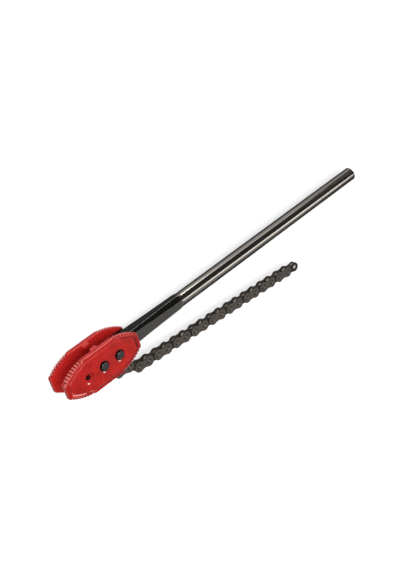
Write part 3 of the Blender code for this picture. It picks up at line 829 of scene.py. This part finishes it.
def shank_section(handle, x):
    """The handle's section at one place: eight-sided with rounded ridges, then round."""
    along = (x - handle.shank_start) / (handle.shank_middle - handle.shank_start)
    half = mix(handle.shank_half_at_jaws, handle.shank_half, smoothstep(along))
    if x < handle.shank_middle:
        corner = mix(handle.corner_at_jaws, handle.corner_middle, along)
    else:
        along = (x - handle.shank_middle) / (handle.shank_end - handle.shank_middle)
        corner = mix(handle.corner_middle, handle.corner_at_bar, min(along, 1.0))
    rounded = smoothstep((x - handle.shank_end) / (handle.bar_start - handle.shank_end))
    soft, eighth = handle.ridge_radius, math.pi / 4
    reaches = (half, (2 * half - corner) / math.sqrt(2))
    ridges = []
    for side in range(8):
        near, far = reaches[side % 2] - soft, reaches[(side + 1) % 2] - soft
        across = (far - near * math.cos(eighth)) / math.sin(eighth)
        turn = side * eighth
        cosine, sine = math.cos(turn), math.sin(turn)
        centre = (near * cosine - across * sine, near * sine + across * cosine)
        ridges.append(arc(centre, soft, turn, turn + eighth, RING_STEPS))
    ring = []
    for side, ridge in enumerate(ridges):
        start, end = ridges[side - 1][-1], ridge[0]
        shares = [i / RING_STEPS for i in range(1, RING_STEPS)]
        ring += [(mix(start[0], end[0], share), mix(start[1], end[1], share)) for share in shares] + ridge
    radius, step = handle.bar_diameter / 2, math.tau / len(ring)
    section = []
    for i, (y, z) in enumerate(ring):
        full = radius * math.cos((i - 1) * step), radius * math.sin((i - 1) * step)
        section.append((x, mix(y, full[0], rounded), mix(z, full[1], rounded)))
    return section


def shank_and_bar(handle):
    """The eight-sided shank, its shoulder and the round bar with a rounded end."""
    radius, soft, dome = handle.bar_diameter / 2, handle.end_radius, handle.end_dome
    edge = handle.bar_end - dome - soft
    places = []
    stretches = ((handle.shank_start, handle.shank_end, 24), (handle.shank_end, handle.bar_start, 12))
    for start, end, steps in (*stretches, (handle.bar_start, edge, 40)):
        places += [mix(start, end, i / steps) for i in range(steps)]
    rings = [shank_section(handle, x) for x in places]
    profile = [(radius - inset, edge + soft - rise) for inset, rise in reversed(rim(soft, 6))]
    for turn in (0.5, 1.0, 1.4):
        profile.append(((radius - soft) * math.cos(turn), handle.bar_end - dome * (1 - math.sin(turn))))
    last = shank_section(handle, handle.bar_end)
    rings += [[(x, y * reach / radius, z * reach / radius) for _, y, z in last] for reach, x in profile]
    return loft(rings)


def hex_reach(flats, turn):
    """How far a hexagon with soft corners reaches in one direction."""
    turns = [turn - math.pi / 6 - math.pi / 3 * i for i in range(6)]
    terms = [max(math.cos(each) / (flats / 2), 0.0) ** CORNER_SHARPNESS for each in turns]
    return sum(terms) ** (-1 / CORNER_SHARPNESS)


def hex_ring(flats, height, cone=None, grow=1):
    """The hexagon's outline, kept below a chamfering cone where one is given."""
    ring = []
    for i in range(FASTENER_SIDES):
        turn = math.tau * i / FASTENER_SIDES
        reach = hex_reach(flats, turn)
        drop = max(reach - cone, 0.0) * math.tan(math.radians(30)) if cone else 0.0
        ring.append((reach * math.cos(turn), reach * math.sin(turn), height - grow * drop))
    return ring


def bolt_mesh(fasteners):
    """A hex bolt: chamfered head with a washer face, and a plain shank that ends just inside the nut."""
    seat, top = fasteners.seat, fasteners.seat + fasteners.head_height
    flats, shank = fasteners.flats, fasteners.bolt_diameter / 2
    washer, land, under = flats / 2 - 0.0004, flats / 2 - 0.0007, seat + 0.0006
    sunk, taper, point = 0.0006, 0.0014, 0.0012
    end = -seat - fasteners.nut_height + sunk
    rings = [round_ring(shank - taper, end), round_ring(shank, end + point), round_ring(shank, seat)]
    rings += [round_ring(washer, seat), round_ring(washer, under - 0.0001), hex_ring(flats, under)]
    rings += [hex_ring(flats, top, land), round_ring(land, top), round_ring(land - 0.002, top)]
    return loft(rings)


def nut_mesh(fasteners):
    """A thin hex nut, chamfered at both faces."""
    top = -fasteners.seat
    bottom = top - fasteners.nut_height
    flats, bore, bevel = fasteners.flats, fasteners.bolt_diameter / 2 + CLEARANCE, 0.0008
    land = flats / 2 - 0.0005
    rings = [round_ring(bore, top - bevel), round_ring(bore + bevel, top), round_ring(land, top)]
    rings += [hex_ring(flats, top, land), hex_ring(flats, bottom, land, -1), round_ring(land, bottom)]
    rings += [round_ring(bore + bevel, bottom), round_ring(bore, bottom + bevel)]
    return loft(rings, closed=True)


def bolt_row():
    """Copies of a fastener, one at each bolt hole."""
    tree = Pattern("bolt row", {"Fastener": "Object", "Count": "Int", "Spacing": "Float"})
    step = tree.vector(tree.input("Spacing"), 0.0, 0.0)
    tree.end(tree.row(tree.shape("Fastener"), tree.input("Count"), (0.0, 0.0, 0.0), step))
    return tree


def plate_outline(pitch, radius, waist):
    """A figure-eight link plate: two round ends and a hollow waist, all tangent."""
    half_pitch, half_waist = pitch / 2, waist / 2
    hollow = (half_pitch**2 + half_waist**2 - radius**2) / (2 * (radius - half_waist))
    depth = half_waist + hollow
    turn = math.atan2(depth, half_pitch)
    near = arc((0.0, 0.0), radius, turn, math.tau - turn, 20)
    far = [(pitch - x, -y) for x, y in near]
    upper = arc((half_pitch, depth), hollow, -turn, turn - math.pi, 6)
    lower = [(pitch - x, -y) for x, y in upper]
    return near + lower[1:-1] + far + upper[1:-1]


def plate_mesh(chain, radius, waist):
    """One link plate about its middle plane, with rounded rims."""

    def outline_at(inset):
        return plate_outline(chain.pitch, radius - inset, waist - 2 * inset)

    half = chain.plate_thickness / 2
    return slab(outline_at, -half, half, chain.rim_radius, 2)


def pin_mesh(chain):
    """A riveted pin: two flat heads with a wide chamfer on a plain pin."""
    face, head, pin = chain.outer_face, chain.head_diameter / 2, chain.pin_diameter / 2
    top, root = face + chain.head_height, face - OVERRUN
    chamfer = ((0.0024, 0.00006), (0.0019, 0.0002), (0.0006, 0.0009), (0.0, 0.0016))  # inset and drop
    half = [(head * 0.3, top), *((head - inset, top - drop) for inset, drop in chamfer)]
    half += [(head, root), (pin, root)]
    return turned([(radius, -height) for radius, height in half] + half[::-1], PIN_SIDES)


def bush_mesh(chain):
    """A pressed bush, open for the pin."""
    proud, collar, slope = 0.0001, 0.002, 0.0001
    half, outer, inner = chain.inner_face + proud, chain.bush_diameter / 2, chain.bore_diameter / 2
    rolled = outer - 0.0013
    profile = [(inner, -half), (rolled, -half), (rolled, collar - half), (outer, collar + slope - half)]
    profile += [(radius, -height) for radius, height in reversed(profile)]
    return turned(profile, PIN_SIDES, closed=True)


def chain_link():
    """One link: two plates above each other, and a pin or bush at each end."""
    inputs = {"Plate": "Object", "Pin": "Object", "Pitch": "Float", "Plate Height": "Float"}
    tree = Pattern("chain link", inputs)
    height = tree.input("Plate Height")
    start, step = tree.vector(0.0, 0.0, -1 * height), tree.vector(0.0, 0.0, 2 * height)
    plates = tree.row(tree.shape("Plate"), 2, start, step)
    pins = tree.row(tree.shape("Pin"), 2, (0.0, 0.0, 0.0), tree.vector(tree.input("Pitch"), 0.0, 0.0))
    tree.end(plates, pins)
    return tree


def anchor_link_mesh(chain, fasteners):
    """A forged bar with an eye at each end, filleted into the bar."""

    def eye_side(eye_radius, half):
        lift = half + chain.anchor_fillet
        reach = math.sqrt((eye_radius + chain.anchor_fillet) ** 2 - lift**2)
        return reach, math.atan2(lift, reach)

    def outline_at(inset):
        half = chain.anchor_width / 2
        near_reach, near_turn = eye_side(chain.anchor_eye_radius, half)
        far_reach, far_turn = eye_side(chain.inner_radius, half)
        lift, fillet, quarter = half + chain.anchor_fillet, chain.anchor_fillet + inset, math.pi / 2
        far_x = chain.anchor_length - far_reach
        upper = arc((far_x, lift), fillet, -far_turn, -quarter, 6)
        upper += arc((near_reach, lift), fillet, -quarter, near_turn - math.pi, 6)
        near_eye = arc((0.0, 0.0), chain.anchor_eye_radius - inset, near_turn, math.tau - near_turn, 24)
        limit = math.pi - far_turn
        far_eye = arc((chain.anchor_length, 0.0), chain.inner_radius - inset, -limit, limit, 24)
        lower = [(x, -y) for x, y in reversed(upper)]
        return far_eye[:-1] + upper[:-1] + near_eye[:-1] + lower[:-1]

    half, soft = chain.inner_face, 0.001
    bar = slab(outline_at, -half, half, soft)
    bar = drilled(bar, fasteners.anchor_pin_diameter / 2 + CLEARANCE, half + OVERRUN)
    return drilled(bar, chain.bore_diameter / 2, half + OVERRUN, chain.anchor_length)


def heading(start, end):
    return math.atan2(end.y - start.y, end.x - start.x)


def placed(start, turn):
    """Turns a link about its first pin, then puts that pin in its place."""
    return Matrix.Translation(start) @ Matrix.Rotation(turn, 4, "Z")


def scaled(tint, share):
    """A colour made darker or lighter."""
    return tuple(share * part for part in tint)


def red_paint(tint, jaw):
    """Glossy paint over a rough forging with dark specks, and painted light on it: highlights on the tooth
    tips, rims and edges, shade in the grooves, the holes and on some slopes, and lighter inner and side
    faces.
    """
    finish = Finish("red jaw paint")
    between, blend = finish.between, finish.blend
    # thin is the colour of the painted highlight on the tooth tips, pink that of the painted highlight on
    # slopes and edges.
    thin, pink = (1.5 * tint[0], 0.17, 0.14), (1.0, 0.33, 0.28)
    # glint is a painted glint on the counterbores' rims, pit the colour of painted shade in the holes and on
    # the seats.
    glint, hole_shade_colour = (1.0, 0.75, 0.68), (0.02, 0.002, 0.002)
    # aside is painted light: upright side faces are painted a brighter, deeper red than the flat faces.
    aside = (1.3 * tint[0], 0.3 * tint[1], 0.3 * tint[2])
    # within is painted light: the inner faces, towards the other jaw, are painted lighter.
    inner_light = (1.4 * tint[0], 2.0 * tint[1], 2.4 * tint[2])
    fine = finish.noise(0.0035, detail=4.0)
    shade = blend(between(finish.noise(0.03), 0.35, 0.7), tint, scaled(tint, 0.74))
    tip_light_hollow_shade = finish.attribute("tip_light_hollow_shade")
    # Painted shade in the grooves and along the panel's foot.
    shade = blend(between(tip_light_hollow_shade, 0.5, 0.0) * 0.75, shade, scaled(tint, 0.25))
    side_x, side_y, steep = finish.parts(finish.facing)
    steep = steep.absolute()
    # Painted highlight on the tooth tips that face -X and +Y.
    tip_highlight = between(tip_light_hollow_shade, 0.6, 1.0) * between(side_y - side_x, 0.34, 0.48)
    shade = blend(tip_highlight * (0.5 + 0.5 * fine), shade, thin)
    specks = between(finish.noise(0.0026, detail=2.0), 0.64, 0.74)
    shade = blend(specks * 0.35, shade, scaled(tint, 0.4))
    plain = between(tip_light_hollow_shade, 0.2, 0.5) * (1 - tip_highlight)
    # Painted light on the upright faces away from the teeth.
    upright = between(steep, 0.5, 0.2) * 0.6
    shade = blend(upright * plain, shade, aside)
    slope = between(steep, 0.5, 0.65) * between(steep, 0.9, 0.83)
    # Painted shade on the panel's slopes that face +X and -Y.
    slope_shade = between(0.9 * side_x - 0.44 * side_y, 0.1, 0.25) * slope
    shade = blend(slope_shade, shade, scaled(tint, 0.1))
    # Painted highlight on the panel's slopes that face -X and -Y, along the panel's foot at the front arc.
    painted_highlight = between(-0.87 * side_x - 0.5 * side_y, 0.42, 0.52) * between(-1 * side_y, 0.3, 0.42) * slope
    _, across, height = finish.parts(finish.place)
    # Painted highlight along the straight edges' rounded rims.
    edge = between(across.absolute(), jaw.height / 2 - 0.0014, jaw.height / 2 - 0.0006)
    edge = edge * between(side_y, 0.2, 0.4) * between(steep, 0.15, 0.4) * between(steep, 0.98, 0.92)
    painted_highlight = 1 - (1 - painted_highlight) * (1 - edge) * (1 - between(finish.attribute("foot_highlight"), 0.45, 0.9))
    shade = blend(painted_highlight, shade, pink)
    # Painted light on the inner faces.
    inner = between((height - CENTRE.z).absolute(), jaw.inner_face + 0.002, jaw.inner_face + 0.001)
    shade = blend(inner * 0.6, shade, inner_light)
    # Painted shade in the holes and on the bolt seats, and a painted glint on the counterbores' rims.
    holes, lips = finish.hole_shade_and_glints(jaw)
    shade = blend(lips, blend(holes, shade, hole_shade_colour), glint)
    peel, forging = finish.noise(0.0022, detail=1.0), finish.noise(0.009, detail=3.0)
    normal = finish.bump(peel, 0.00005, finish.bump(forging, 0.0003))
    roughness = 0.2 + 0.16 * fine + 0.3 * slope
    return finish.end(Base_Color=shade, Roughness=roughness, Normal=normal, Specular_IOR_Level=0.42)


def black_steel(tint, start, end):
    """Blackened steel, lighter on the bar, with a painted highlight on the shank's ridges beside the flats
    that face
    +Y and -Y, and painted shade, near black, on what faces down or aside.
    """
    finish = Finish("blackened handle steel")
    between, blend = finish.between, finish.blend
    polished = (2.25 * tint[0], 2.15 * tint[1], 2.1 * tint[2])
    bar = between(finish.parts(finish.place)[0], start, end)
    _, aside, up = finish.parts(finish.facing)
    # Painted highlight on the shank's ridges beside the flats that face +Y and -Y.
    ridge = between((up.maths("ARCTAN2", up, aside) * 8).cosine(), 0.2, -0.8) * (1 - bar)
    ridge = ridge * between(aside.absolute(), 0.6, 0.8)
    cloud = finish.noise(0.02, detail=4.0)
    streaks = between(finish.noise(0.0022, detail=4.0, stretch=(50.0, 1.0, 1.0)), 0.5, 0.8)
    shade = blend(bar, tint, polished)
    shade = blend(streaks * 0.25, shade, scaled(tint, 1.3))
    # Painted shade, near black, on what faces down or aside.
    shade = blend(between(up, 0.24, 0.02), shade, scaled(tint, 0.07))
    shade = blend(ridge * 0.9, shade, scaled(tint, 2.0))
    forging, grain = finish.noise(0.011, detail=3.0), finish.noise(0.0009, detail=3.0)
    normal = finish.bump(grain, 0.000005, finish.bump(forging * (1.1 - bar), 0.00006))
    roughness = 0.14 + 0.05 * cloud + 0.05 * streaks + 0.2 * ridge
    return finish.end(Base_Color=shade, Roughness=roughness, Metallic=1.0, Normal=normal)


def oiled_steel(steel, film, chain=None):
    """Dark oiled steel with blots, and painted light on it: near-black shade on the rims, the pin heads'
    sides and the gaps between plates, a pale highlight where a rim faces -X and +Y, and near-white bushes as
    a highlight.
    """
    finish = Finish("oiled chain steel" if chain else "oiled anchor steel")
    between, blend = finish.between, finish.blend
    blots = between(finish.noise(0.006, detail=5.0, roughness=0.65, distortion=0.4), 0.45, 0.7)
    fine = finish.noise(0.0012, detail=4.0)
    side_x, side_y, steep = finish.parts(finish.facing)
    steep = steep.absolute()
    # black is the colour of painted shade, bare the near-white of the painted highlight on the bushes.
    black, bush_highlight = scaled(film, 0.1), (1.0, 0.96, 0.9)
    shade = blend(blots * 0.6, steel, film)
    # Painted shade on every face that is not flat to the plates.
    shade = blend(between(steep, 0.985, 0.93), shade, black)
    # Painted highlight on the rims that face -X and +Y.
    painted_highlight = between(side_y - side_x, 0.3, 0.8) * between(steep, 0.35, 0.5)
    shade = blend(painted_highlight * between(steep, 0.98, 0.95), shade, scaled(steel, 4.5))
    metal = 0.35 - 0.35 * painted_highlight
    if chain:
        height = (finish.parts(finish.place)[2] - CENTRE.z).absolute()
        face, inner = chain.inner_face, chain.inner_face - chain.plate_thickness
        # Painted shade on the sides of the pin heads, which are lighter on their flat tops.
        head = between(height, chain.outer_face + 0.0001, chain.outer_face + 0.0003)
        shade = blend(head, shade, black)
        shade = blend(head * between(steep, 0.97, 0.99), shade, scaled(steel, 1.4))
        # Painted shade in the gaps between the plates.
        gap = between(height, inner + 0.0006, inner + 0.001) * between(height, face + 0.0003, face)
        shade = blend(gap * 0.75, shade, black)
        # The bushes are painted near white, a painted highlight.
        bush = between(height, inner, inner - 0.0004)
        shade = blend(bush, shade, bush_highlight)
        metal = metal * (1 - bush)
    roughness = 0.28 + 0.14 * blots + 0.12 * fine
    normal = finish.bump(fine, 0.00004, finish.bump(blots, 0.00006))
    return finish.end(Base_Color=shade, Roughness=roughness, Metallic=metal, Normal=normal)


def dull_steel(tint):
    """Dull grey steel of the bolt heads and nuts, with a light scale, and painted shade, nearly black, on
    upright faces.
    """
    finish = Finish("dull bolt steel")
    scale = finish.noise(0.0028, detail=5.0, roughness=0.7)
    turning = finish.noise(0.0006, detail=2.0, stretch=(1.0, 1.0, 6.0))
    shade = finish.blend(finish.between(scale, 0.35, 0.7), tint, scaled(tint, 0.6))
    # Painted shade on upright faces.
    upright = finish.between(finish.parts(finish.facing)[2].absolute(), 0.5, 0.15)
    shade = finish.blend(upright, shade, scaled(tint, 0.12))
    normal = finish.bump(turning, 0.00002, finish.bump(scale, 0.00006))
    return finish.end(Base_Color=shade, Roughness=0.4 + 0.16 * scale, Metallic=0.9, Normal=normal)


def floor_finish(tint):
    """Pale floor, lifted to white for the camera, and less near the wrench, where it keeps the shadow."""
    finish = Finish("pale floor")
    shade = finish.blend(finish.noise(0.4, detail=2.0) * 0.25, tint, scaled(tint, 0.97))
    seen = finish.node("ShaderNodeLightPath").output("Is Camera Ray")
    reach = finish.node("ShaderNodeVectorMath", {"operation": "LENGTH"}, {0: finish.place}, "Value")
    level = 0.62 + 0.38 * finish.between(reach, 1.2, 3.5)
    lift = finish.blend(seen * level, (0.0, 0.0, 0.0), (1.0, 1.0, 1.0))
    light = {"Emission_Color": lift, "Emission_Strength": 1.0}
    return finish.end(Base_Color=shade, Roughness=0.9, Specular_IOR_Level=0.0, **light)


class WRENCH_OT_jaws(bpy.types.Operator):
    """Makes the two painted jaws with their teeth, panels, holes and lugs"""

    bl_idname = "wrench.jaws"
    bl_label = "Jaws"

    def execute(self, context):
        jaw = context.scene.wrench_jaws
        paint = red_paint(tuple(jaw.paint), jaw)
        upper = jaw_body(jaw, paint)
        lower = moved(upper, Matrix.Rotation(math.pi, 4, "X"))
        piece("toothed_jaw_upper", moved(upper, TO_PLACE), paint, "jaw_paint", "frame", "upper_jaw")
        piece("toothed_jaw_lower", moved(lower, TO_PLACE), paint, "jaw_paint", "frame", "lower_jaw")
        return {"FINISHED"}


class WRENCH_OT_handle(bpy.types.Operator):
    """Makes the forged handle: flat end, eight-sided shank and round bar"""

    bl_idname = "wrench.handle"
    bl_label = "Handle"

    def execute(self, context):
        handle = context.scene.wrench_handle
        mesh = softened(joined(tang(handle), shank_and_bar(handle)))
        paint = black_steel(tuple(handle.paint), CENTRE.x + handle.shank_end, CENTRE.x + handle.bar_start)
        piece("forged_handle", moved(mesh, TO_PLACE), paint, "handle_paint", "frame", "handle")
        return {"FINISHED"}


class WRENCH_OT_fasteners(bpy.types.Operator):
    """Makes the jaw bolts, their nuts and the anchor pin"""

    bl_idname = "wrench.fasteners"
    bl_label = "Fasteners"

    def execute(self, context):
        scene = context.scene
        fasteners, jaw, handle = scene.wrench_fasteners, scene.wrench_jaws, scene.wrench_handle
        steel = dull_steel(tuple(fasteners.steel))
        for name, mesh in (("bolt", bolt_mesh(fasteners)), ("nut", nut_mesh(fasteners))):
            values = {"Fastener": mesh, "Count": 2, "Spacing": jaw.hole_spacing, "Material": steel}
            row = softened(bolt_row().mesh(values))
            nodes = (f"middle_jaw_{name}", f"rear_jaw_{name}")
            piece(f"jaw_{name}s", moved(row, TO_PLACE), steel, "fastener_steel", "frame", *nodes)
        half, radius, soft = handle.tang_half, fasteners.anchor_pin_diameter / 2, 0.0008
        profile = [(radius - inset, rise - half) for inset, rise in rim(soft)]
        profile += [(radius, -height) for radius, height in reversed(profile)]
        pin = softened(shifted(turned(profile), x=handle.anchor_place))
        piece("round_anchor_pin", moved(pin, TO_PLACE), steel, "chain_steel", "frame", "anchor_pin")
        return {"FINISHED"}


class WRENCH_OT_chain(bpy.types.Operator):
    """Makes the anchor link and every link of the chain"""

    bl_idname = "wrench.chain"
    bl_label = "Chain"

    def execute(self, context):
        chain, fasteners = context.scene.wrench_chain, context.scene.wrench_fasteners
        steel = oiled_steel(tuple(chain.steel), tuple(chain.film), chain)
        plain_steel = oiled_steel(tuple(chain.steel), tuple(chain.film))
        thickness, pitch = chain.plate_thickness, chain.pitch
        outer_plate = plate_mesh(chain, chain.outer_radius, chain.outer_waist)
        inner_plate = plate_mesh(chain, chain.inner_radius, chain.inner_waist)
        for x in (0.0, pitch):
            inner_plate = drilled(inner_plate, chain.bore_diameter / 2, thickness + OVERRUN, x, PIN_SIDES)
        tree, shapes = chain_link(), {}
        for kind, plate, pin, face in (
            ("outer", outer_plate, pin_mesh(chain), chain.outer_face),
            ("inner", inner_plate, bush_mesh(chain), chain.inner_face),
        ):
            values = {"Plate": plate, "Pin": pin, "Plate Height": face - thickness / 2}
            shapes[kind] = softened(tree.mesh({**values, "Pitch": pitch, "Material": steel}))
        turns = [heading(*pair) for pair in zip(JOINT_PLACES, JOINT_PLACES[1:])]
        turns.append(turns[-1])  # the last link lies in line with the one before it
        anchor = moved(softened(anchor_link_mesh(chain, fasteners)), placed(JOINT_PLACES[0], turns[0]))
        piece("forged_anchor_link", anchor, plain_steel, "chain_steel", "anchor", "anchor_link")
        for number in range(1, len(JOINT_PLACES)):
            kind = ("inner", "outer")[number % 2]
            link = moved(shapes[kind], placed(JOINT_PLACES[number], turns[number]))
            label = f"link_{number:02d}"
            piece(f"{kind}_{label}", link, steel, "chain_steel", label, f"chain_{label}")
        return {"FINISHED"}


class WRENCH_OT_stage(bpy.types.Operator):
    """Makes the pale floor, the studio lamps and the camera"""

    bl_idname = "wrench.stage"
    bl_label = "Stage"

    def execute(self, context):
        scene, stage = context.scene, context.scene.wrench_stage
        half, low = stage.floor_size / 2, CAD_BOX[0].z - FLOOR_GAP
        corners = at_height([(-half, -half), (half, -half), (half, half), (-half, half)], low)
        mesh = bpy.data.meshes.new("floor")
        mesh.from_pydata(corners, [], [(0, 1, 2, 3)])
        mesh.materials.append(floor_finish(tuple(stage.floor_tint)))
        linked("floor", mesh)
        self.lamps(stage.lamp_power)
        scene.world = self.room(stage.room_light)
        scene.view_settings.view_transform = "Standard"
        self.camera(scene, stage.lens)
        return {"FINISHED"}

    def room(self, faint):
        """Faint light from all round, which the camera sees as white."""
        world = bpy.data.worlds.new("plain room")
        world.use_nodes = True
        world.node_tree.nodes.clear()
        graph = Graph(world.node_tree)
        seen = graph.node("ShaderNodeLightPath").output("Is Camera Ray")
        sockets = {"Color": (0.98, 0.99, 1.0, 1.0), "Strength": faint + (1 - faint) * seen}
        light = graph.node("ShaderNodeBackground", sockets=sockets)
        graph.node("ShaderNodeOutputWorld", sockets={"Surface": light})
        return world

    def lamps(self, power):
        """Soft lamps: a broad one overhead, weak ones all round and a small one for the glints."""
        for name, place, size, share in LAMPS:
            lamp = bpy.data.lights.new(name, "AREA")
            lamp.shape = "RECTANGLE"
            lamp.size, lamp.size_y = size
            lamp.energy = power * share
            thing = linked(name, lamp)
            thing.location = place
            thing.rotation_euler = (LAMP_TARGET - Vector(place)).to_track_quat("-Z", "Y").to_euler()

    def camera(self, scene, lens):
        """The photograph's view, fitted to sixty points of the object."""
        right = CAMERA_RIGHT.normalized()
        back = right.cross(CAMERA_UP).normalized()
        view = Matrix((right, back.cross(right), back)).transposed().to_4x4()
        data = bpy.data.cameras.new("photograph view")
        data.lens = lens
        data.sensor_width = 36.0
        data.sensor_fit = "HORIZONTAL"
        data.clip_end = 100.0
        thing = linked("photograph view", data)
        thing.matrix_world = Matrix.Translation(CAMERA_PLACE) @ view
        scene.camera = thing


class WRENCH_PT_sidebar(bpy.types.Panel):
    """Sizes, colours and buttons of the wrench"""

    bl_idname = "WRENCH_PT_sidebar"
    bl_label = "Chain pipe wrench"
    bl_space_type = "VIEW_3D"
    bl_region_type = "UI"
    bl_category = "Wrench"

    def draw(self, context):
        for group, (sizes, operator) in GROUPS.items():
            box = self.layout.box()
            box.operator(operator.bl_idname)
            for key in sizes.__annotations__:
                box.prop(getattr(context.scene, group), key)


GROUPS = {
    "wrench_jaws": (JawSizes, WRENCH_OT_jaws),
    "wrench_handle": (HandleSizes, WRENCH_OT_handle),
    "wrench_fasteners": (FastenerSizes, WRENCH_OT_fasteners),
    "wrench_chain": (ChainSizes, WRENCH_OT_chain),
    "wrench_stage": (StageSizes, WRENCH_OT_stage),
}
CLASSES = (*(each for pair in GROUPS.values() for each in pair), WRENCH_PT_sidebar)


def register():
    for each in CLASSES:
        bpy.utils.register_class(each)
    for name, (sizes, _) in GROUPS.items():
        setattr(bpy.types.Scene, name, bpy.props.PointerProperty(type=sizes))


def unregister():
    for name in GROUPS:
        delattr(bpy.types.Scene, name)
    for each in reversed(CLASSES):
        bpy.utils.unregister_class(each)


def main():
    register()
    bpy.ops.wrench.jaws()
    bpy.ops.wrench.handle()
    bpy.ops.wrench.fasteners()
    bpy.ops.wrench.chain()
    bpy.ops.wrench.stage()


if __name__ == "__main__":
    main()
